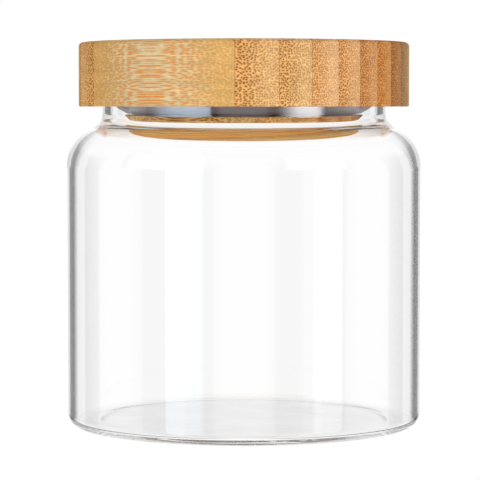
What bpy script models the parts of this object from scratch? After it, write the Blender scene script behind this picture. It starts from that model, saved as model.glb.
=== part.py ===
"""Lidded glass canister: a straight-sided glass jar with a drawn-in neck, closed by a
laminated bamboo lid whose plug carries a silicone sealing ring.

Run it with  blender --background --python part.py , or from Blender's text editor.
Units are metres and +Z is up. The jar stands on Z = 0 and its axis is the Z axis.
"""

import math

import bmesh
import bpy
from mathutils import Matrix

# ---- Driving dimensions -------------------------------------------------------------

# Jar
BODY_RADIUS = 0.0500
NECK_RADIUS = 0.0401
GLASS_WALL = 0.0018
NECK_WALL = 0.0023
RIM_HEIGHT = 0.0988
# The shoulder's bends: radius into the neck, radius into the body and height of the neck's foot
OUTER_BENDS = (0.0046, 0.0114, 0.0884)
INNER_BENDS = (0.0042, 0.0110, 0.0870)
FOOT_CORNER_RADIUS = 0.0040
INNER_CORNER_RADIUS = 0.0012  # where the floor meets the wall inside
FLOOR_THICKNESS = 0.0022
FOOT_RING_WIDTH = 0.0045  # the flat ring that the jar stands on
PUSH_UP = 0.0006  # how far the underside rises inside the foot ring

# Lid
LID_RADIUS = 0.0466
LID_TOP = 0.1082
SKIRT_BOTTOM = 0.0902
SKIRT_INNER_RADIUS = 0.0413
LID_TOP_ROUNDING = 0.0012
LID_EDGE_CHAMFER = 0.0004
RECESS_CEILING = 0.0991  # the recess takes the neck's rim
PLUG_RADIUS = 0.0336
PLUG_BOTTOM = 0.0847
COLLAR_RADIUS = 0.0320  # of the plug above its seal groove
GROOVE_RADIUS = 0.0284
GROOVE_BOTTOM = 0.0868
GROOVE_TOP = 0.0956

# Staves, the glued bamboo strips that the lid is turned from
STAVE_COUNT = 14
STAVE_PITCH = 0.00703
STAVE_OFFSET = -0.0016  # how far the middle glue line lies from the lid's axis
GLUE_GAP = 0.0002
ACROSS_STAVES = math.radians(-122.5)  # the direction that stave 01 faces, from +X

# Sealing ring
FIT_GAP = 0.0003  # clearance between pieces that touch
SEAL_BAND = 0.0016  # thickness of the band in the groove
LIP_HEIGHTS = (0.0045, 0.0)  # of the two lips' roots, above the ring's base
LIP_ROOT_THICKNESS = 0.0013
LIP_TIP_THICKNESS = 0.0007
LIP_SLOPE = 0.02
LIP_CURL = 56.0  # how quickly the lips steepen, per metre

# Mesh
SEGMENTS = 48
MERGE_DISTANCE = 0.000001

# Colours, linear RGB
GLASS_COLOUR = (0.90, 0.95, 0.95)
BAMBOO_COLOURS = ((0.62, 0.38, 0.15), (0.66, 0.36, 0.13), (0.58, 0.32, 0.13))
SILICONE_COLOUR = (0.35, 0.34, 0.36)


# ---- Scene and helpers --------------------------------------------------------------


def clear_scene():
    """Removes what the file holds, so that the script can run again."""
    for item in list(bpy.data.objects):
        bpy.data.objects.remove(item)


def new_collection(name):
    collection = bpy.data.collections.new(name)
    bpy.context.scene.collection.children.link(collection)
    return collection


def new_material(name, colour, roughness, transmission=0.0, alpha=1.0):
    material = bpy.data.materials.new(name)
    material.use_nodes = True
    shader = material.node_tree.nodes["Principled BSDF"]
    shader.inputs["Base Color"].default_value = (*colour, 1.0)
    shader.inputs["Roughness"].default_value = roughness
    shader.inputs["Metallic"].default_value = 0.0
    shader.inputs["Transmission Weight"].default_value = transmission
    shader.inputs["Alpha"].default_value = alpha
    material.diffuse_color = (*colour, alpha)
    return material


def arc(centre_r, centre_z, radius, start_deg, end_deg, steps):
    """Points of an arc in the plane of radius and height, with both its ends."""
    points = []
    for step in range(steps + 1):
        angle = math.radians(start_deg + (end_deg - start_deg) * step / steps)
        points.append((centre_r + radius * math.cos(angle), centre_z + radius * math.sin(angle)))
    return points


def profile_mesh(name, points, closed=False):
    """A mesh of edges in the XZ plane through the given (radius, height) points."""
    count = len(points)
    edges = [(i, i + 1) for i in range(count - 1)]
    if closed:
        edges.append((count - 1, 0))
    mesh = bpy.data.meshes.new(name)
    mesh.from_pydata([(r, 0.0, z) for r, z in points], edges, [])
    return mesh


def turned_object(name, mesh, material, collection):
    """An object that turns its profile mesh once round the Z axis."""
    item = bpy.data.objects.new(name, mesh)
    collection.objects.link(item)
    if not mesh.materials:
        mesh.materials.append(material)
    item.material_slots[0].link = "OBJECT"
    item.material_slots[0].material = material
    screw = item.modifiers.new("Turn", "SCREW")
    screw.axis = "Z"
    screw.angle = 2 * math.pi
    screw.steps = SEGMENTS
    screw.render_steps = SEGMENTS
    screw.use_merge_vertices = True
    screw.merge_threshold = MERGE_DISTANCE
    screw.use_smooth_shade = True
    return item


# ---- Jar ----------------------------------------------------------------------------


def shoulder_side(neck_radius, body_radius, bends):
    """One face of the shoulder, from the neck down to the body, as an S of two tangent arcs.

    bends holds the arcs' two radii and the height at which the first one starts.
    """
    fillet_radius, round_radius, start_height = bends
    fillet_r = neck_radius + fillet_radius
    round_r = body_radius - round_radius
    drop = math.sqrt((fillet_radius + round_radius) ** 2 - (fillet_r - round_r) ** 2)
    lean = math.degrees(math.atan2(drop, fillet_r - round_r))
    fillet = arc(fillet_r, start_height, fillet_radius, 180, 180 + lean, 4)
    round_over = arc(round_r, start_height - drop, round_radius, lean, 0, 6)
    return fillet + round_over[1:]


def jar_profile():
    inner_radius = BODY_RADIUS - GLASS_WALL
    rim_radius = NECK_WALL / 2
    foot_radius = BODY_RADIUS - FOOT_CORNER_RADIUS

    points = [(0.0, FLOOR_THICKNESS)]
    corner = INNER_CORNER_RADIUS
    points += arc(inner_radius - corner, FLOOR_THICKNESS + corner, corner, -90, 0, 4)
    points += reversed(shoulder_side(NECK_RADIUS - NECK_WALL, inner_radius, INNER_BENDS))
    points += arc(NECK_RADIUS - rim_radius, RIM_HEIGHT - rim_radius, rim_radius, 180, 0, 4)
    points += shoulder_side(NECK_RADIUS, BODY_RADIUS, OUTER_BENDS)
    points += arc(foot_radius, FOOT_CORNER_RADIUS, FOOT_CORNER_RADIUS, 0, -90, 4)
    points.append((foot_radius - FOOT_RING_WIDTH, 0.0))
    points.append((foot_radius - FOOT_RING_WIDTH - 2 * PUSH_UP, PUSH_UP))
    points.append((0.0, PUSH_UP))
    return points


def make_jar(collection):
    material = new_material("glass", GLASS_COLOUR, 0.02, transmission=1.0, alpha=0.35)
    mesh = profile_mesh("glass_jar", jar_profile())
    return turned_object("glass_jar", mesh, material, collection)


# ---- Lid ----------------------------------------------------------------------------


def lid_profile():
    """The lid's outline: top, skirt, recess for the neck, then plug with its seal groove."""
    rounding = LID_TOP_ROUNDING
    chamfer = LID_EDGE_CHAMFER
    points = [(0.0, LID_TOP)]
    points += arc(LID_RADIUS - rounding, LID_TOP - rounding, rounding, 90, 0, 3)
    points += [
        (LID_RADIUS, SKIRT_BOTTOM + chamfer),
        (LID_RADIUS - chamfer, SKIRT_BOTTOM),
        (SKIRT_INNER_RADIUS + chamfer, SKIRT_BOTTOM),
        (SKIRT_INNER_RADIUS, SKIRT_BOTTOM + chamfer),
        (SKIRT_INNER_RADIUS, RECESS_CEILING),
        (COLLAR_RADIUS, RECESS_CEILING),
        (COLLAR_RADIUS, GROOVE_TOP),
        (GROOVE_RADIUS, GROOVE_TOP),
        (GROOVE_RADIUS, GROOVE_BOTTOM),
        (PLUG_RADIUS, GROOVE_BOTTOM),
        (PLUG_RADIUS, PLUG_BOTTOM + chamfer),
        (PLUG_RADIUS - chamfer, PLUG_BOTTOM),
        (0.0, PLUG_BOTTOM),
    ]
    return points


def stave_span(index):
    """The near and far faces of a stave, as distances from the lid's axis across the staves."""
    middle = STAVE_COUNT // 2
    far = STAVE_OFFSET + STAVE_PITCH * (middle - index) - GLUE_GAP / 2
    near = far - STAVE_PITCH + GLUE_GAP
    if index == 0:
        far = BODY_RADIUS
    if index == STAVE_COUNT - 1:
        near = -BODY_RADIUS
    return near, far


def stave_outline(near, far):
    """A stave's end-on outline, as (distance across the staves, height) points.

    The flange below the seal groove is narrower than the lid. A glue line that misses the
    groove's core would leave a loose sliver of it, so there the next stave in keeps the sliver.
    """
    top = LID_TOP + FIT_GAP
    step = (GROOVE_BOTTOM + SKIRT_BOTTOM) / 2
    bottom = PLUG_BOTTOM - FIT_GAP
    if near > GROOVE_RADIUS or far < -GROOVE_RADIUS:
        return [(near, step), (far, step), (far, top), (near, top)]
    flange_near = near if near > -GROOVE_RADIUS else -BODY_RADIUS
    flange_far = far if far < GROOVE_RADIUS else BODY_RADIUS
    outline = [(flange_near, bottom), (flange_far, bottom)]
    if flange_far != far:
        outline.append((flange_far, step))
    outline += [(far, step), (far, top), (near, top), (near, step)]
    if flange_near != near:
        outline.append((flange_near, step))
    return outline


def stave_cutter(name, outline, collection):
    """A long bar with the stave's outline, lying along the bamboo's fibres."""
    model = bmesh.new()
    corners = [model.verts.new((across, -BODY_RADIUS, height)) for across, height in outline]
    face = model.faces.new(corners)
    pushed = bmesh.ops.extrude_face_region(model, geom=[face])["geom"]
    moved = [item for item in pushed if isinstance(item, bmesh.types.BMVert)]
    bmesh.ops.translate(model, verts=moved, vec=(0.0, 2 * BODY_RADIUS, 0.0))
    bmesh.ops.recalc_face_normals(model, faces=model.faces)
    mesh = bpy.data.meshes.new(name)
    model.to_mesh(mesh)
    model.free()
    cutter = bpy.data.objects.new(name, mesh)
    cutter.matrix_world = Matrix.Rotation(ACROSS_STAVES, 4, "Z")
    cutter.hide_render = True
    cutter.display_type = "WIRE"
    collection.objects.link(cutter)
    return cutter


def make_staves(collection, cutters):
    """The lid, as the row of strips that it is glued from."""
    blank = profile_mesh("lid_blank", lid_profile())
    materials = [
        new_material(f"bamboo_{number}", colour, 0.5)
        for number, colour in enumerate(BAMBOO_COLOURS, start=1)
    ]
    staves = []
    for index in range(STAVE_COUNT):
        label = f"{index + 1:02d}"
        material = materials[index % len(materials)]
        stave = turned_object(f"lid_stave_{label}", blank, material, collection)
        outline = stave_outline(*stave_span(index))
        cut = stave.modifiers.new("Cut to stave", "BOOLEAN")
        cut.operation = "INTERSECT"
        cut.solver = "EXACT"
        cut.object = stave_cutter(f"stave_bar_{label}", outline, cutters)
        staves.append(stave)
    return staves


# ---- Sealing ring -------------------------------------------------------------------


def seal_lip(root_height):
    """One flared lip, from its root over the top to the tip and back along the underside."""
    start = GROOVE_RADIUS + 2 * FIT_GAP
    root = GROOVE_RADIUS + FIT_GAP + SEAL_BAND
    tip = NECK_RADIUS - NECK_WALL - FIT_GAP
    steps = 4
    over = []
    under = []
    for step in range(steps + 1):
        share = step / steps
        radius = root + (tip - root) * share
        reach = radius - start
        height = root_height + LIP_SLOPE * reach + LIP_CURL * reach**2
        thickness = LIP_ROOT_THICKNESS + (LIP_TIP_THICKNESS - LIP_ROOT_THICKNESS) * share
        under.append((radius, height))
        over.append((radius, height + thickness))
    return over + under[::-1]


def seal_profile():
    """A band that lies in the groove, with two lips that flare up and out to the neck."""
    base = GROOVE_BOTTOM + FIT_GAP
    top = GROOVE_TOP - FIT_GAP
    inside = GROOVE_RADIUS + FIT_GAP
    points = [(inside, top), (inside + SEAL_BAND, top)]
    for height in LIP_HEIGHTS:
        points += seal_lip(base + height)
    points += [(inside + FIT_GAP, base), (inside, base)]
    return points


def make_seal(collection):
    material = new_material("silicone", SILICONE_COLOUR, 0.3)
    mesh = profile_mesh("seal_ring", seal_profile(), closed=True)
    return turned_object("seal_ring", mesh, material, collection)


# ---- Assembly -----------------------------------------------------------------------


def make_pivot(name, parent, collection):
    """An empty on the canister's axis, which carries the pieces that move together."""
    pivot = bpy.data.objects.new(name, None)
    pivot.parent = parent
    collection.objects.link(pivot)
    return pivot


def main():
    clear_scene()
    parts = new_collection("glass_canister")
    cutters = new_collection("cutters")
    make_jar(parts)
    lift = make_pivot("lid_lift", None, parts)
    twist = make_pivot("lid_twist", lift, parts)
    seal = make_seal(parts)
    seal.parent = lift
    for stave in make_staves(parts, cutters):
        stave.parent = twist


main()
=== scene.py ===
"""The looks of a lidded glass canister: a clear glass jar, a lid turned from laminated bamboo
and the silicone ring that seals its plug in the jar's neck.

Every piece here is a finer mesh of the CAD node that it replaces. Units are metres and +Z is up.
"""

import math

import bmesh
import bpy
from mathutils import Matrix, Vector, noise


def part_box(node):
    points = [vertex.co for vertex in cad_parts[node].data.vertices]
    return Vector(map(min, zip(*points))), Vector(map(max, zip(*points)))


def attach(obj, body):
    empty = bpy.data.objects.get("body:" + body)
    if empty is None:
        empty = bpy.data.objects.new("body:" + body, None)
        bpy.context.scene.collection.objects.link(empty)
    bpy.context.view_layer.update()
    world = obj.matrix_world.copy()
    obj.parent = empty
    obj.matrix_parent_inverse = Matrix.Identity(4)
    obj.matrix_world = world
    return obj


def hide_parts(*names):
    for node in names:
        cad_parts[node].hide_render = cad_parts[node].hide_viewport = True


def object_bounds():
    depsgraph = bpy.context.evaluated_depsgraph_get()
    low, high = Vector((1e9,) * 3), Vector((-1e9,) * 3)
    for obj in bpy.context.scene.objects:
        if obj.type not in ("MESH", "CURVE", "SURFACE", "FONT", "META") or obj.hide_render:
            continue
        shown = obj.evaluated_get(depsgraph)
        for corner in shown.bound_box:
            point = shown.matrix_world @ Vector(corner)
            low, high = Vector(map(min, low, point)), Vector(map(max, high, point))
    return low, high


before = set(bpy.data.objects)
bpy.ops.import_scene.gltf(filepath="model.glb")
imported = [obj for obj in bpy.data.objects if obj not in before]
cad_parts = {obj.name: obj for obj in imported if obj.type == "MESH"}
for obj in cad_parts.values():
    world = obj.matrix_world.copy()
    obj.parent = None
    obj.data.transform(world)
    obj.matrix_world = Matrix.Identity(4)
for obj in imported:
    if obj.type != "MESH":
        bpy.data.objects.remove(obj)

cad_low, cad_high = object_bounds()

# ---- Sizes --------------------------------------------------------------------------

MM = 0.001

# From the frame
jar_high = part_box("glass_jar")[1]
stave_names = sorted(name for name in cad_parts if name.startswith("lid_stave"))
BODY_RADIUS = jar_high.x
RIM_HEIGHT = jar_high.z
LID_TOP = cad_high.z
LID_RADIUS = max(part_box(name)[1].x for name in stave_names)
PLUG_BOTTOM = min(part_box(name)[0].z for name in stave_names)

# Jar
NECK_RADIUS = 40.1 * MM
NECK_WALL = 2.3 * MM
GLASS_WALL = 1.8 * MM
# The shoulder's bends: radius into the neck, radius into the body and the neck's lower end
OUTER_BENDS = (4.6 * MM, 11.4 * MM, 88.4 * MM)
INNER_BENDS = (4.2 * MM, 11.0 * MM, 87.0 * MM)
FOOT_CORNER_RADIUS = 4.0 * MM
INNER_CORNER_RADIUS = 1.2 * MM  # where the floor meets the wall inside
FLOOR_THICKNESS = 2.2 * MM
FOOT_RING_WIDTH = 4.5 * MM
PUSH_UP = 0.6 * MM  # how far the middle of the underside is raised
FLOOR_WAVES = 0.10 * MM  # how uneven the jar's floor is inside
FLOOR_WAVE_X = 22.0 * MM  # the size of its waves along X
FLOOR_WAVE_Y = 11.0 * MM
JAR_POINT_SPACING = 2.0 * MM  # along the outline, at most
JAR_ARC_STEPS = 14
JAR_SEGMENTS = 384

# Lid
SKIRT_BOTTOM = 90.2 * MM
SKIRT_INNER_RADIUS = 41.3 * MM
RECESS_CEILING = 99.1 * MM
PLUG_RADIUS = 33.6 * MM
COLLAR_RADIUS = 32.0 * MM  # of the plug above its seal groove
GROOVE_RADIUS = 28.4 * MM
GROOVE_BOTTOM = 86.8 * MM
GROOVE_TOP = 95.6 * MM
TOP_ROUNDING = 1.2 * MM
EDGE_ROUNDING = 0.4 * MM
GLUE_GAP = 0.03 * MM
ACROSS_STAVES = math.radians(-122.5)  # the direction from the last stave to the first
TOP_ARC_STEPS = 8
EDGE_ARC_STEPS = 6
TINY_ARC_STEPS = 2
LID_SEGMENTS = 256  # of the sealing ring too
STAVE_SHARP_DEG = 18

# Sealing ring
FIT_GAP = 0.3 * MM
SEAL_BAND = 1.6 * MM  # thickness of the band that lies in the groove
LIP_HEIGHTS = (4.5 * MM, 0.0)  # of the lips' roots over the band's lower end
LIP_ROOT_THICKNESS = 1.3 * MM
LIP_TIP_THICKNESS = 0.7 * MM
# A lip rises by its slope times its reach, and by its curl times the square of its reach
LIP_SLOPE = 0.02
LIP_CURL = 56.0
LIP_STEPS = 16

WELD_DISTANCE = 0.001 * MM
DISC_SEGMENTS = 96


# ---- Mesh helpers -------------------------------------------------------------------


def arc(centre_r, centre_z, radius, start_deg, end_deg, steps):
    """Points of an arc in the plane of radius and height, with both its ends."""
    points = []
    for step in range(steps + 1):
        angle = math.radians(start_deg + (end_deg - start_deg) * step / steps)
        points.append((centre_r + radius * math.cos(angle), centre_z + radius * math.sin(angle)))
    return points


def line(start, end, spacing):
    """Points from start to end, without the end itself, no further apart than spacing."""
    steps = max(1, math.ceil(math.dist(start, end) / spacing))
    return [
        tuple(a + (b - a) * step / steps for a, b in zip(start, end)) for step in range(steps)
    ]


def filled(points, spacing):
    """The same outline with points added where its own lie further apart than spacing."""
    dense = []
    for start, end in zip(points, points[1:]):
        dense += line(start, end, spacing)
    return dense + [points[-1]]


def turned(points, segments, closed=False):
    """A bmesh of the (radius, height) outline turned once round the Z axis."""
    model = bmesh.new()
    verts = [model.verts.new((r, 0.0, z)) for r, z in points]
    edges = [model.edges.new(pair) for pair in zip(verts, verts[1:])]
    if closed:
        edges.append(model.edges.new((verts[-1], verts[0])))
    bmesh.ops.spin(
        model,
        geom=verts + edges,
        cent=(0, 0, 0),
        axis=(0, 0, 1),
        angle=2 * math.pi,
        steps=segments,
        use_merge=True,
    )
    bmesh.ops.remove_doubles(model, verts=model.verts, dist=WELD_DISTANCE)
    bmesh.ops.recalc_face_normals(model, faces=model.faces)
    return model


def set_shading(mesh, sharp_deg):
    """Shades a mesh smooth but for its edges over sharp_deg."""
    mesh.shade_smooth()
    mesh.set_sharp_from_angle(angle=math.radians(sharp_deg))


def finished(name, model, sharp_deg=40):
    """Turns a bmesh into an object in the scene, shaded smooth."""
    mesh = bpy.data.meshes.new(name)
    model.to_mesh(mesh)
    model.free()
    set_shading(mesh, sharp_deg)
    item = bpy.data.objects.new(name, mesh)
    bpy.context.scene.collection.objects.link(item)
    return item


# ---- Node helpers -------------------------------------------------------------------

NOISE_SPAN = (0.3, 0.7)  # what nearly all of a noise lies between
WHITE_COLOUR = (1.0, 1.0, 1.0, 1.0)


class Graph:
    """A material's or world's node tree, with short calls for the nodes used here."""

    def __init__(self, owner):
        owner.use_nodes = True
        self.tree = owner.node_tree
        self.tree.nodes.clear()

    def node(self, kind, **settings):
        made = self.tree.nodes.new(kind)
        for name, value in settings.items():
            setattr(made, name, value)
        return made

    def feed(self, socket, value):
        """Links value to the socket if it is a socket, and sets it if it is plain."""
        if isinstance(value, bpy.types.NodeSocket):
            self.tree.links.new(value, socket)
        else:
            socket.default_value = value

    def math(self, operation, *values):
        made = self.node("ShaderNodeMath", operation=operation)
        for socket, value in zip(made.inputs, values):
            self.feed(socket, value)
        return made.outputs[0]

    def ramp(self, value, low, high, start=0.0, end=1.0, smooth=True):
        """start below low, end above high, and a smooth or straight change between."""
        made = self.node("ShaderNodeMapRange")
        made.interpolation_type = "SMOOTHSTEP" if smooth else "LINEAR"
        for socket, given in zip(made.inputs, (value, low, high, start, end)):
            self.feed(socket, given)
        return made.outputs[0]

    def mix(self, share, first, second):
        """A colour that goes from first to second as share goes from 0 to 1."""
        made = self.node("ShaderNodeMix", data_type="RGBA")
        self.feed(made.inputs[0], share)
        self.feed(made.inputs[6], first)
        self.feed(made.inputs[7], second)
        return made.outputs[2]

    def level(self, share, first, second):
        """A number that goes from first to second as share goes from 0 to 1."""
        made = self.node("ShaderNodeMix", data_type="FLOAT")
        self.feed(made.inputs[0], share)
        self.feed(made.inputs[2], first)
        self.feed(made.inputs[3], second)
        return made.outputs[0]

    def place(self):
        """The surface's place in the space of its object."""
        return self.node("ShaderNodeTexCoord").outputs["Object"]

    def vector(self, *parts):
        made = self.node("ShaderNodeCombineXYZ")
        for socket, value in zip(made.inputs, parts):
            self.feed(socket, value)
        return made.outputs[0]

    def parts(self, vector):
        made = self.node("ShaderNodeSeparateXYZ")
        self.feed(made.inputs[0], vector)
        return made.outputs

    def scaled(self, colour, factor):
        made = self.node("ShaderNodeVectorMath", operation="SCALE")
        self.feed(made.inputs[0], colour)
        self.feed(made.inputs[3], factor)
        return made.outputs[0]

    def noise(self, vector, scale, detail):
        made = self.node("ShaderNodeTexNoise")
        self.feed(made.inputs["Vector"], vector)
        made.inputs["Scale"].default_value = scale
        made.inputs["Detail"].default_value = detail
        return made.outputs["Fac"]

    def varied(self, noise_level, least, most):
        """A level between least and most that follows a noise."""
        return self.ramp(noise_level, *NOISE_SPAN, least, most)

    def bump(self, height, distance, strength):
        made = self.node("ShaderNodeBump")
        made.inputs["Distance"].default_value = distance
        made.inputs["Strength"].default_value = strength
        self.feed(made.inputs["Height"], height)
        return made.outputs[0]

    def show(self, shader, output="ShaderNodeOutputMaterial"):
        """Makes the shader the one that the material or world shows."""
        self.tree.links.new(shader.outputs[0], self.node(output).inputs["Surface"])

    def principled(self, **inputs):
        shader = self.node("ShaderNodeBsdfPrincipled")
        for name, value in inputs.items():
            self.feed(shader.inputs[name.replace("_", " ")], value)
        self.show(shader)


# ---- Jar ----------------------------------------------------------------------------


def shoulder_side(neck_radius, body_radius, bends, steps):
    """One face of the shoulder, from the neck down to the body, as an S of two tangent arcs.

    bends holds the arcs' two radii and the height at which the first one starts.
    """
    fillet_radius, round_radius, start_height = bends
    fillet_r = neck_radius + fillet_radius
    round_r = body_radius - round_radius
    drop = math.sqrt((fillet_radius + round_radius) ** 2 - (fillet_r - round_r) ** 2)
    lean = math.degrees(math.atan2(drop, fillet_r - round_r))
    fillet = arc(fillet_r, start_height, fillet_radius, 180, 180 + lean, steps)
    round_over = arc(round_r, start_height - drop, round_radius, lean, 0, 2 * steps)
    return fillet + round_over[1:]


def jar_outline():
    """The jar's outline: floor, inside, rim and outside, then the raised underside."""
    inner_radius = BODY_RADIUS - GLASS_WALL
    rim_radius = NECK_WALL / 2
    foot_radius = BODY_RADIUS - FOOT_CORNER_RADIUS
    corner = INNER_CORNER_RADIUS
    steps = JAR_ARC_STEPS

    points = [(0.0, FLOOR_THICKNESS)]
    points += arc(inner_radius - corner, FLOOR_THICKNESS + corner, corner, -90, 0, steps)
    points += reversed(shoulder_side(NECK_RADIUS - NECK_WALL, inner_radius, INNER_BENDS, steps))
    points += arc(NECK_RADIUS - rim_radius, RIM_HEIGHT - rim_radius, rim_radius, 180, 0, steps)
    points += shoulder_side(NECK_RADIUS, BODY_RADIUS, OUTER_BENDS, steps)
    points += arc(foot_radius, FOOT_CORNER_RADIUS, FOOT_CORNER_RADIUS, 0, -90, steps)
    points.append((foot_radius - FOOT_RING_WIDTH, 0.0))
    points.append((foot_radius - FOOT_RING_WIDTH - 2 * PUSH_UP, PUSH_UP))
    points.append((0.0, PUSH_UP))
    return filled(points, JAR_POINT_SPACING)


def glass_material():
    """Clear borosilicate glass with the faint ripple of a drawn tube."""
    material = bpy.data.materials.new("clear_glass")
    graph = Graph(material)
    ripple = graph.noise(graph.place(), scale=60.0, detail=1.0)
    graph.principled(
        Base_Color=WHITE_COLOUR,
        Roughness=0.0,
        IOR=1.474,
        Transmission_Weight=1.0,
        Normal=graph.bump(ripple, distance=0.02 * MM, strength=0.3),
    )
    return material


def wavy_floor(model):
    """Makes the inside of the jar's floor slightly uneven, as hot-formed glass is."""
    reach = BODY_RADIUS - FOOT_CORNER_RADIUS
    for vertex in model.verts:
        radius = vertex.co.xy.length
        if radius < reach and PUSH_UP < vertex.co.z < 2 * FLOOR_THICKNESS:
            calm = 1.0 - (radius / reach) ** 4
            waves = Vector((vertex.co.x / FLOOR_WAVE_X, vertex.co.y / FLOOR_WAVE_Y, 0.3))
            vertex.co.z += calm * FLOOR_WAVES * noise.noise(waves)


def make_jar():
    model = turned(jar_outline(), JAR_SEGMENTS)
    wavy_floor(model)
    jar = finished("glass_jar_clear", model, sharp_deg=60)
    jar.data.materials.append(glass_material())
    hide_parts("glass_jar")
    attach(jar, "jar")


# ---- Lid ----------------------------------------------------------------------------


def lid_outline():
    """The lid's outline: top, skirt, recess for the neck, then plug with its seal groove."""
    top = TOP_ROUNDING
    small = EDGE_ROUNDING
    tiny = EDGE_ROUNDING / 2
    steps = EDGE_ARC_STEPS
    points = [(0.0, LID_TOP)]
    points += arc(LID_RADIUS - top, LID_TOP - top, top, 90, 0, TOP_ARC_STEPS)
    points += arc(LID_RADIUS - small, SKIRT_BOTTOM + small, small, 0, -90, steps)
    points += arc(SKIRT_INNER_RADIUS + small, SKIRT_BOTTOM + small, small, 270, 180, steps)
    points += [
        (SKIRT_INNER_RADIUS, RECESS_CEILING),
        (COLLAR_RADIUS, RECESS_CEILING),
        (COLLAR_RADIUS, GROOVE_TOP),
        (GROOVE_RADIUS, GROOVE_TOP),
        (GROOVE_RADIUS, GROOVE_BOTTOM),
    ]
    points += arc(PLUG_RADIUS - tiny, GROOVE_BOTTOM - tiny, tiny, 90, 0, TINY_ARC_STEPS)
    points += arc(PLUG_RADIUS - small, PLUG_BOTTOM + small, small, 0, -90, steps)
    points.append((0.0, PLUG_BOTTOM))
    return points


def stave_span(name):
    """A stave's near and far faces, as distances from the lid's axis across the staves."""
    across = Vector((math.cos(ACROSS_STAVES), math.sin(ACROSS_STAVES), 0.0))
    corners = [vertex.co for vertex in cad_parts[name].data.vertices]
    places = [corner.dot(across) for corner in corners if corner.z > GROOVE_TOP]
    return min(places), max(places)


def glue_lines():
    """Where one stave meets the next, from the first stave to the last."""
    spans = [stave_span(name) for name in stave_names]
    return [(left[0] + right[1]) / 2 for left, right in zip(spans, spans[1:])]


def stave_bar(near, far):
    """A bar to cut one stave from the turned lid.

    Below the groove, the slivers of flange that a glue line would cut loose stay with the stave
    that reaches the groove's core.
    """
    top = LID_TOP + FIT_GAP
    step = (GROOVE_BOTTOM + SKIRT_BOTTOM) / 2
    bottom = PLUG_BOTTOM - FIT_GAP
    if near > GROOVE_RADIUS or far < -GROOVE_RADIUS:
        outline = [(near, step), (far, step), (far, top), (near, top)]
    else:
        flange_near = near if near > -GROOVE_RADIUS else -BODY_RADIUS
        flange_far = far if far < GROOVE_RADIUS else BODY_RADIUS
        outline = [(flange_near, bottom), (flange_far, bottom), (flange_far, step)]
        outline += [(far, step), (far, top), (near, top), (near, step), (flange_near, step)]
    outline = list(dict.fromkeys(outline))  # points that fall together are kept once
    model = bmesh.new()
    corners = [model.verts.new((across, -BODY_RADIUS, height)) for across, height in outline]
    pushed = bmesh.ops.extrude_face_region(model, geom=[model.faces.new(corners)])["geom"]
    moved = [item for item in pushed if isinstance(item, bmesh.types.BMVert)]
    bmesh.ops.translate(model, verts=moved, vec=(0.0, 2 * BODY_RADIUS, 0.0))
    bmesh.ops.recalc_face_normals(model, faces=model.faces)
    model.transform(Matrix.Rotation(ACROSS_STAVES, 4, "Z"))
    return finished("bar", model)


def cut_stave(name, blank, near, far):
    """The part of the turned lid between two planes across the staves."""
    stave = bpy.data.objects.new(name, blank.data.copy())
    bpy.context.scene.collection.objects.link(stave)
    bar = stave_bar(near, far)
    cut = stave.modifiers.new("Cut", "BOOLEAN")
    cut.operation = "INTERSECT"
    cut.solver = "EXACT"
    cut.object = bar
    depsgraph = bpy.context.evaluated_depsgraph_get()
    mesh = bpy.data.meshes.new_from_object(stave.evaluated_get(depsgraph), depsgraph=depsgraph)
    stave.modifiers.clear()
    stave.data = mesh
    stave.data.name = name
    bpy.data.objects.remove(bar)
    set_shading(mesh, STAVE_SHARP_DEG)
    return stave


# ---- Bamboo -------------------------------------------------------------------------

# Each stave's ground colour as linear RGB, how dark its bundles are, and their spacing in mm
STAVE_LOOKS = (
    ((0.58, 0.36, 0.13), 0.95, 0.54),
    ((0.67, 0.40, 0.17), 1.00, 0.64),
    ((0.67, 0.41, 0.18), 1.00, 0.62),
    ((0.72, 0.42, 0.20), 0.80, 0.62),
    ((0.71, 0.40, 0.18), 1.00, 0.60),
    ((0.63, 0.32, 0.13), 1.00, 0.60),
    ((0.64, 0.30, 0.10), 1.00, 0.60),
    ((0.49, 0.24, 0.10), 1.00, 0.62),
    ((0.43, 0.27, 0.15), 0.95, 0.62),
    ((0.66, 0.42, 0.19), 0.90, 0.66),
    ((0.60, 0.35, 0.16), 1.00, 0.62),
    ((0.64, 0.40, 0.18), 0.80, 0.64),
    ((0.66, 0.38, 0.17), 0.90, 0.60),
    ((0.62, 0.38, 0.18), 0.85, 0.62),
)

# Tints of a stave's ground colour: of the ground on its dense side, and of its bundles
USUAL_TINTS = ((0.94, 0.84, 0.68), (0.34, 0.16, 0.07))
# First stave: a paler, bluer dense side, partly its own bamboo and partly a painted softbox
# highlight
FIRST_TINTS_WITH_HIGHLIGHT = ((0.96, 1.19, 1.85), (1.08, 0.56, 0.18))  # paler, with orange bundles

# Fibre bundles, with distances from a bundle's middle in bundle spacings
BUNDLE_EDGE = (0.18, 0.46)  # where the bundle starts to fade, and where it has ended
HALO_EDGE = (0.35, 0.75)  # between these the ground turns from its darker to its lighter level
HALO_LEVELS = (0.94, 1.12)
BUNDLE_NARROWING = 0.72  # a bundle's width across the stave over its height
BUNDLE_SWAY = 1.2  # how far the columns of bundles wander
PATTERN_SHIFT = 17.3  # gives each stave bundles of its own
BUNDLE_CHANCE = (0.7, 1.0)  # how strong single bundles are, from the faintest to the darkest

# A stave from its dense side, 0, to its pale side, 1
BUNDLE_FADE = (0.10, 0.80)
PALE_BUNDLES = 0.45  # how strong the bundles are on the pale side
DENSE_END = 0.8

GROUND_LEVELS = (0.90, 1.08)
GLUE_SHADE = 0.80
GLUE_SHADE_WIDTH = 0.15 * MM


def tinted(ground, tint):
    """A colour with alpha: the ground, part by part times the tint."""
    return (*(own * part for own, part in zip(ground, tint)), 1.0)


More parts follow.
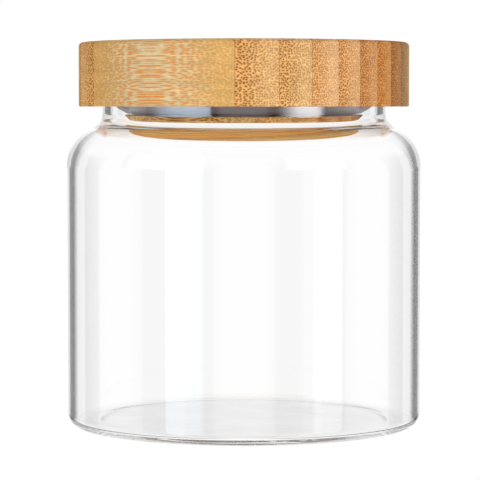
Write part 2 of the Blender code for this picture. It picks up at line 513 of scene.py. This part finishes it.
def stave_axes(graph):
    """The surface's place as three numbers: across the staves, along their fibres and up."""
    turn = graph.node("ShaderNodeMapping")
    graph.feed(turn.inputs["Vector"], graph.place())
    turn.inputs["Rotation"].default_value = (0.0, 0.0, -ACROSS_STAVES)
    return graph.parts(turn.outputs[0])


def fibre_noise(graph, axes, along_share, scale, detail):
    """A noise that is drawn out along the fibres, the more the smaller along_share is."""
    across, along, up = axes
    drawn_out = graph.vector(across, graph.math("MULTIPLY", along, along_share), up)
    return graph.noise(drawn_out, scale, detail)


def fibre_bundles(graph, axes, index, spacing):
    """How far the surface is from the nearest bundle's middle, and a chance number, 0 to 1, that
    the bundle keeps. Bundles show as dots on the end grain and as long streaks along it."""
    sway = fibre_noise(graph, axes, along_share=0.25, scale=90.0, detail=1.0)
    sway = graph.math("MULTIPLY", graph.math("SUBTRACT", sway, 0.5), BUNDLE_SWAY)
    column = graph.math("ADD", graph.math("DIVIDE", axes[0], BUNDLE_NARROWING * spacing), sway)
    row = graph.math("ADD", graph.math("DIVIDE", axes[2], spacing), PATTERN_SHIFT * index)
    cells = graph.node("ShaderNodeTexVoronoi", voronoi_dimensions="2D")
    graph.feed(cells.inputs["Vector"], graph.vector(column, row, 0.0))
    cells.inputs["Scale"].default_value = 1.0
    cells.inputs["Randomness"].default_value = 0.8
    chance = graph.node("ShaderNodeSeparateColor")
    graph.feed(chance.inputs[0], cells.outputs["Color"])
    return cells.outputs["Distance"], chance.outputs[0]


def glue_line_shade(graph, across, near, far):
    """Darkens a stave along its two glued faces."""
    to_near = graph.math("ABSOLUTE", graph.math("SUBTRACT", across, near))
    to_far = graph.math("ABSOLUTE", graph.math("SUBTRACT", across, far))
    edge = graph.math("MINIMUM", to_near, to_far)
    return graph.ramp(edge, 0.0, GLUE_SHADE_WIDTH, GLUE_SHADE, 1.0)


def bamboo_material(name, index, near, far):
    """Bamboo cut across or along its fibres, whichever way the surface lies.

    The stave's dense side, with dark bundles close together, is the one at far.
    """
    ground, darkness, spacing_mm = STAVE_LOOKS[index]
    # On the first stave the dense side's tint is partly a painted highlight of the left softbox
    dense_tint_and_highlight, bundle_tint = FIRST_TINTS_WITH_HIGHLIGHT if index == 0 else USUAL_TINTS
    material = bpy.data.materials.new(name)
    graph = Graph(material)
    axes = stave_axes(graph)
    across = axes[0]
    depth = graph.ramp(across, far, near, smooth=False)

    distance, chance = fibre_bundles(graph, axes, index, spacing_mm * MM)
    halo = graph.ramp(distance, *HALO_EDGE, *HALO_LEVELS)
    fade = graph.ramp(depth, *BUNDLE_FADE, 1.0, PALE_BUNDLES)
    strength = graph.math("MULTIPLY", fade, graph.ramp(chance, 0.0, 1.0, *BUNDLE_CHANCE))
    strength = graph.math("MULTIPLY", strength, darkness)
    bundle = graph.math("MULTIPLY", graph.ramp(distance, *BUNDLE_EDGE, 1.0, 0.0), strength)

    # Ground: slow streaks along the fibres and a fine speckle
    streak = fibre_noise(graph, axes, along_share=0.03, scale=420.0, detail=3.0)
    speckle = fibre_noise(graph, axes, along_share=0.2, scale=3200.0, detail=2.0)
    light = graph.math(
        "MULTIPLY",
        graph.varied(streak, *GROUND_LEVELS),
        graph.varied(speckle, *GROUND_LEVELS),
    )
    pale = graph.ramp(depth, 0.0, DENSE_END)
    # The dense side's tint, which on the first stave is partly a painted highlight
    colour = graph.mix(pale, tinted(ground, dense_tint_and_highlight), (*ground, 1.0))
    colour = graph.scaled(colour, graph.math("MULTIPLY", light, halo))
    colour = graph.mix(bundle, colour, tinted(ground, bundle_tint))
    colour = graph.scaled(colour, glue_line_shade(graph, across, near, far))

    # The open vessels of a bundle leave a shallow pit
    height = graph.math("SUBTRACT", graph.math("MULTIPLY", speckle, 0.4), bundle)
    graph.principled(
        Base_Color=colour,
        Roughness=graph.varied(streak, 0.42, 0.58),
        Specular_IOR_Level=0.0,  # the softboxes are for the glass, and would wash out the lid
        Normal=graph.bump(height, distance=0.03 * MM, strength=0.5),
    )
    return material


def make_lid():
    blank = finished("blank", turned(lid_outline(), LID_SEGMENTS))
    lines = [BODY_RADIUS] + glue_lines() + [-BODY_RADIUS]
    pitch = lines[1] - lines[2]
    for index, name in enumerate(stave_names):
        far = lines[index] - GLUE_GAP / 2
        near = lines[index + 1] + GLUE_GAP / 2
        stave = cut_stave(name.replace("lid_stave", "bamboo_stave"), blank, near, far)
        # The first and last staves were as wide as the rest before the lid was turned round
        dense_side = min(far, near + pitch) if index == 0 else far
        pale_side = max(near, far - pitch) if index == len(stave_names) - 1 else near
        stave.data.materials.clear()
        stave.data.materials.append(bamboo_material(stave.name, index, pale_side, dense_side))
        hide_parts(name)
        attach(stave, "lid")
    bpy.data.objects.remove(blank)


# ---- Sealing ring -------------------------------------------------------------------


def seal_lip(root_height):
    """One flared lip, from its root over the top to the tip and back along the underside."""
    start = GROOVE_RADIUS + 2 * FIT_GAP
    root = GROOVE_RADIUS + FIT_GAP + SEAL_BAND
    tip = NECK_RADIUS - NECK_WALL - FIT_GAP
    over = []
    under = []
    for step in range(LIP_STEPS + 1):
        share = step / LIP_STEPS
        radius = root + (tip - root) * share
        reach = radius - start
        height = root_height + LIP_SLOPE * reach + LIP_CURL * reach**2
        thickness = LIP_ROOT_THICKNESS + (LIP_TIP_THICKNESS - LIP_ROOT_THICKNESS) * share
        under.append((radius, height))
        over.append((radius, height + thickness))
    return over + under[::-1]


def seal_outline():
    """A band that lies in the groove, with two lips that flare up and out to the neck."""
    base = GROOVE_BOTTOM + FIT_GAP
    top = GROOVE_TOP - FIT_GAP
    inside = GROOVE_RADIUS + FIT_GAP
    points = [(inside, top), (inside + SEAL_BAND, top)]
    for height in LIP_HEIGHTS:
        points += seal_lip(base + height)
    points += [(inside + FIT_GAP, base), (inside, base)]
    return points


def silicone_material():
    """Smooth grey silicone, slightly cloudy; its dark colour is partly painted shade of the
    recess behind the neck.
    """
    material = bpy.data.materials.new("silicone")
    graph = Graph(material)
    place = graph.place()
    cloud = graph.noise(place, scale=300.0, detail=2.0)
    fine = graph.noise(place, scale=2500.0, detail=2.0)
    graph.principled(
        # The ring's own grey, made darker with painted shade of the recess in the neck
        Base_Color=graph.scaled((0.13, 0.10, 0.145), graph.varied(cloud, 0.94, 1.05)),
        Roughness=graph.varied(cloud, 0.28, 0.40),
        IOR=1.41,
        Normal=graph.bump(fine, distance=0.01 * MM, strength=0.4),
    )
    return material


def make_seal():
    seal = finished("silicone_ring", turned(seal_outline(), LID_SEGMENTS, closed=True))
    seal.data.materials.append(silicone_material())
    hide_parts("seal_ring")
    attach(seal, "seal")


# ---- Studio -------------------------------------------------------------------------

CAMERA_DISTANCE = 0.68
CAMERA_SIDE = -1.1 * MM  # along X from the canister's axis
CAMERA_HEIGHT = SKIRT_BOTTOM
AIM_HEIGHT = 52.4 * MM
FRAME_WIDTH = 136.0 * MM  # what the camera's frame spans at the canister's axis
SENSOR_WIDTH_MM = 36.0

# The studio repeats every 90 degrees round the canister, so that it suits each main view.
# Turns are in degrees from the nearest main view's axis, and a rise is a direction's Z part.
MAIN_VIEWS_DEG = 90.0
WHITE_LEVEL = 1.02  # of the backdrop and the floor, which show as plain white
BACKDROP = 1.0  # the backdrop as seen through the glass
DARK_STRIP = 0.03
DARK_STRIP_TURN = 29.0
DARK_STRIP_REACH = (7.5, 11.0)  # to each side: where a strip starts to fade, and its end
DARK_STRIP_RISE = (0.10, 0.50)  # upwards: where the strips start to fade, and their end
STRAIGHT_DEPTH = 5.5  # light that goes straight through the whole jar has a ray depth of 5
DEEP = 0.90  # the studio in the fainter images that the glass makes of it
MIRRORED = 0.30  # the studio's sides as outer surfaces mirror them
MIRRORED_TURN = (8.0, 25.0)  # where the mirrored backdrop starts to fade, and its end
MIRRORED_RISE = (0.12, 0.35)  # up and down: where the dim sides start to whiten, and their end

# Light on what isn't glass
SOFT_FRONT = (0.0, -0.95, 0.32)  # towards the middle of the front light
SOFT_BACK = (0.0, 0.95, 0.32)
SOFT_EDGE = 0.3  # the cosine of the angle from its middle at which a light ends
SOFT_LEVEL = 1.5
SOFT_BELOW_RISE = (-0.8, 0.0)
SOFT_BELOW_LEVELS = (1.7, 0.15)  # from below the first rise, and from above the second
# Tints of the light that reaches the plug and the sealing ring through the glass
INSIDE_LIGHT = (1.35, 1.12, 0.50, 1.0)
BELOW_LIGHT = (3.6, 3.9, 3.2, 1.0)
BELOW_RISE = (-0.9, -0.2)  # BELOW_LIGHT under the first rise, INSIDE_LIGHT over the second

FLOOR_RADIUS = 1.4
FLOOR_DROP = 0.06 * MM  # how far under the foot it lies
PAD_RADIUS = 47.0 * MM
PAD_DROP = 0.03 * MM
PAD_FADE = (43.0 * MM, 46.5 * MM)  # the radii at which its shade starts to fade, and ends
# Strength of the painted shadow under the jar, from its darker swirls to its lighter ones
PAD_PAINTED_SHADOW = (0.70, 0.82)
PAD_SWIRLS = (0.35, 0.65)  # the part of the noise's range over which the shade changes

SOFTBOX_DISTANCE = 1.6
SOFTBOX_FACES = 16
SOFTBOX_BOTTOM = -0.8
SOFTBOX_STEP = 66.0 * MM  # above this height the softboxes are wider
SOFTBOX_TOP = 0.9
BLUISH = (0.66, 0.84, 1.0)
NEUTRAL = (1.0, 1.0, 1.0)
# Name, lower and upper edge, stops, colour and strength
SOFTBOXES = (
    ("left_low", SOFTBOX_BOTTOM, SOFTBOX_STEP, (-51.0, -50.0, -29.0, -23.0), BLUISH, 3.0),
    ("left_high", SOFTBOX_STEP, SOFTBOX_TOP, (-84.0, -54.0, -29.0, -24.0), BLUISH, 12.0),
    ("right_low", SOFTBOX_BOTTOM, SOFTBOX_STEP, (42.0, 47.0, 63.0, 66.0), NEUTRAL, 2.5),
    ("right_high", SOFTBOX_STEP, SOFTBOX_TOP, (23.0, 50.0, 58.0, 69.0), NEUTRAL, 18.0),
)

# Fewer would cut off the light that runs along inside the glass wall, and leave the foot black
GLASS_BOUNCES = 128


def make_camera():
    """A camera level with the lid's lower edge, looking slightly down at the canister."""
    data = bpy.data.cameras.new("camera")
    data.sensor_width = SENSOR_WIDTH_MM
    data.lens = SENSOR_WIDTH_MM * CAMERA_DISTANCE / FRAME_WIDTH
    camera = bpy.data.objects.new("camera", data)
    bpy.context.scene.collection.objects.link(camera)
    place = Vector((CAMERA_SIDE, -CAMERA_DISTANCE, CAMERA_HEIGHT))
    aim = Vector((CAMERA_SIDE, 0.0, AIM_HEIGHT))
    camera.location = place
    camera.rotation_euler = (aim - place).to_track_quat("-Z", "Y").to_euler()
    bpy.context.scene.camera = camera


def turn_off_axis(graph, parts):
    """How far a direction, given by its X, Y and Z parts, is turned away from the nearest main
    view's axis, in degrees."""
    turn = graph.math("ARCTAN2", parts[0], parts[1])
    turn = graph.math("FRACT", graph.math("DIVIDE", turn, math.radians(MAIN_VIEWS_DEG)))
    half = MAIN_VIEWS_DEG / 2
    turn = graph.math("ABSOLUTE", graph.math("MULTIPLY_ADD", turn, MAIN_VIEWS_DEG, -half))
    return graph.math("SUBTRACT", half, turn)


def through_glass(graph, parts, rays):
    """White all round but for soft dark upright strips to both sides of each main view's axis,
    which draw the edges of the glass where it bends the light most."""
    turn = graph.math("SUBTRACT", turn_off_axis(graph, parts), DARK_STRIP_TURN)
    strips = graph.ramp(graph.math("ABSOLUTE", turn), *DARK_STRIP_REACH, DARK_STRIP, BACKDROP)
    raised = graph.ramp(parts[2], *DARK_STRIP_RISE, 0.0, BACKDROP)
    deep = graph.math("GREATER_THAN", rays.outputs["Ray Depth"], STRAIGHT_DEPTH)
    return graph.level(deep, graph.math("MAXIMUM", strips, raised), DEEP)


def in_mirror(graph, parts):
    """Dim sides between the main views' backdrops, and white above and below."""
    side = graph.ramp(turn_off_axis(graph, parts), *MIRRORED_TURN, WHITE_LEVEL, MIRRORED)
    steepness = graph.math("ABSOLUTE", parts[2])
    white = graph.ramp(steepness, *MIRRORED_RISE, 0.0, WHITE_LEVEL)
    return graph.math("MAXIMUM", side, white)


def soft_light(graph, direction, parts):
    """Soft light on what isn't glass, from below and from wide lights at the front and back."""
    total = graph.ramp(parts[2], *SOFT_BELOW_RISE, *SOFT_BELOW_LEVELS)
    for middle in (SOFT_FRONT, SOFT_BACK):
        aim = graph.node("ShaderNodeVectorMath", operation="DOT_PRODUCT")
        graph.feed(aim.inputs[0], direction)
        graph.feed(aim.inputs[1], middle)
        light = graph.ramp(aim.outputs["Value"], SOFT_EDGE, 1.0, 0.0, SOFT_LEVEL)
        total = graph.math("ADD", light, total)
    return total


def make_world():
    """White for the camera and through the glass, dimmer in the mirror of outer surfaces."""
    world = bpy.data.worlds.new("studio")
    bpy.context.scene.world = world
    graph = Graph(world)
    direction = graph.node("ShaderNodeTexCoord").outputs["Generated"]
    parts = graph.parts(direction)
    rays = graph.node("ShaderNodeLightPath")
    level = in_mirror(graph, parts)
    for ray, given in (
        ("Is Diffuse Ray", soft_light(graph, direction, parts)),
        ("Is Transmission Ray", through_glass(graph, parts, rays)),
        ("Is Camera Ray", WHITE_LEVEL),
    ):
        level = graph.level(rays.outputs[ray], level, given)

    # Light that reaches the plug and the ring through the glass has a colour of its own
    inside = graph.math("MINIMUM", rays.outputs["Diffuse Depth"], 1.0)
    inside = graph.math("MULTIPLY", inside, rays.outputs["Is Transmission Ray"])
    below = graph.ramp(parts[2], *BELOW_RISE, 1.0, 0.0)
    inside_light = graph.mix(below, INSIDE_LIGHT, BELOW_LIGHT)
    shader = graph.node("ShaderNodeBackground")
    graph.feed(shader.inputs["Color"], graph.mix(inside, WHITE_COLOUR, inside_light))
    graph.feed(shader.inputs["Strength"], level)
    graph.show(shader, "ShaderNodeOutputWorld")
    world.cycles.sampling_method = "NONE"


def glow_material(name, colour, strength_of):
    """A material that only glows; strength_of makes its strength from the graph."""
    material = bpy.data.materials.new(name)
    graph = Graph(material)
    glow = graph.node("ShaderNodeEmission")
    glow.inputs["Color"].default_value = (*colour, 1.0)
    graph.feed(glow.inputs["Strength"], strength_of(graph))
    graph.show(glow)
    return material


def disc(name, radius, height, strength_of):
    """A glowing white disc that lights no matt surface and casts no shadow."""
    model = bmesh.new()
    bmesh.ops.create_circle(model, cap_ends=True, segments=DISC_SEGMENTS, radius=radius)
    item = finished(name, model)
    item.location.z = height
    item.data.materials.append(glow_material(name, NEUTRAL, strength_of))
    item.visible_diffuse = False
    item.visible_shadow = False
    return item


def painted_shadow_strength(graph):
    """Painted shadow under the jar: light grey with faint swirls, which fades to white at the
    pad's edge.
    """
    place = graph.place()
    reach = graph.node("ShaderNodeVectorMath", operation="LENGTH")
    graph.feed(reach.inputs[0], place)
    shade = graph.ramp(graph.noise(place, scale=70.0, detail=3.0), *PAD_SWIRLS, *PAD_PAINTED_SHADOW)
    return graph.ramp(reach.outputs["Value"], *PAD_FADE, shade, WHITE_LEVEL)


def make_floor():
    """A plain white floor. Only a pad the size of the foot, seen through the glass, shows a
    painted shadow under the jar.
    """
    floor = disc("floor", FLOOR_RADIUS, cad_low.z - FLOOR_DROP, lambda graph: WHITE_LEVEL)
    floor.visible_glossy = False
    floor.visible_transmission = False
    # A pad under the jar with a painted shadow that shows through the glass
    disc("floor_pad", PAD_RADIUS, cad_low.z - PAD_DROP, painted_shadow_strength)


def make_softbox(name, low, high, stops, colour, strength):
    """A softbox that the glass mirrors, as a band round the canister between two heights.

    stops are turns from the front towards +X, in degrees: where its light starts, is full, is
    still full and ends.
    """
    first, last = stops[0], stops[3]
    model = bmesh.new()
    rows = ([], [])
    for row, height in zip(rows, (low, high)):
        for step in range(SOFTBOX_FACES + 1):
            turn = math.radians(first + (last - first) * step / SOFTBOX_FACES)
            side = SOFTBOX_DISTANCE * math.sin(turn)
            front = SOFTBOX_DISTANCE * math.cos(turn)
            row.append(model.verts.new((side, -front, height)))
    for quad in zip(rows[0], rows[0][1:], rows[1][1:], rows[1]):
        model.faces.new(quad)

    def strength_of(graph):
        parts = graph.parts(graph.place())
        turn = graph.math("ARCTAN2", parts[0], graph.math("MULTIPLY", parts[1], -1.0))
        start, full, still, end = (math.radians(stop) for stop in stops)
        rise = graph.ramp(turn, start, full, 0.0, strength)
        fall = graph.ramp(turn, still, end, 1.0, 0.0)
        return graph.math("MULTIPLY", rise, fall)

    box = finished(name, model)
    box.data.materials.append(glow_material(name, colour, strength_of))
    box.visible_camera = False
    box.visible_diffuse = False
    box.visible_transmission = False


def set_rendering():
    """Plain colours as they are, and light that goes on through all of the glass."""
    bpy.context.scene.view_settings.view_transform = "Standard"
    cycles = bpy.context.scene.cycles
    cycles.max_bounces = GLASS_BOUNCES
    cycles.transmission_bounces = GLASS_BOUNCES
    cycles.glossy_bounces = GLASS_BOUNCES


make_jar()
make_lid()
make_seal()
make_camera()
make_world()
make_floor()
for softbox in SOFTBOXES:
    make_softbox(*softbox)
set_rendering()
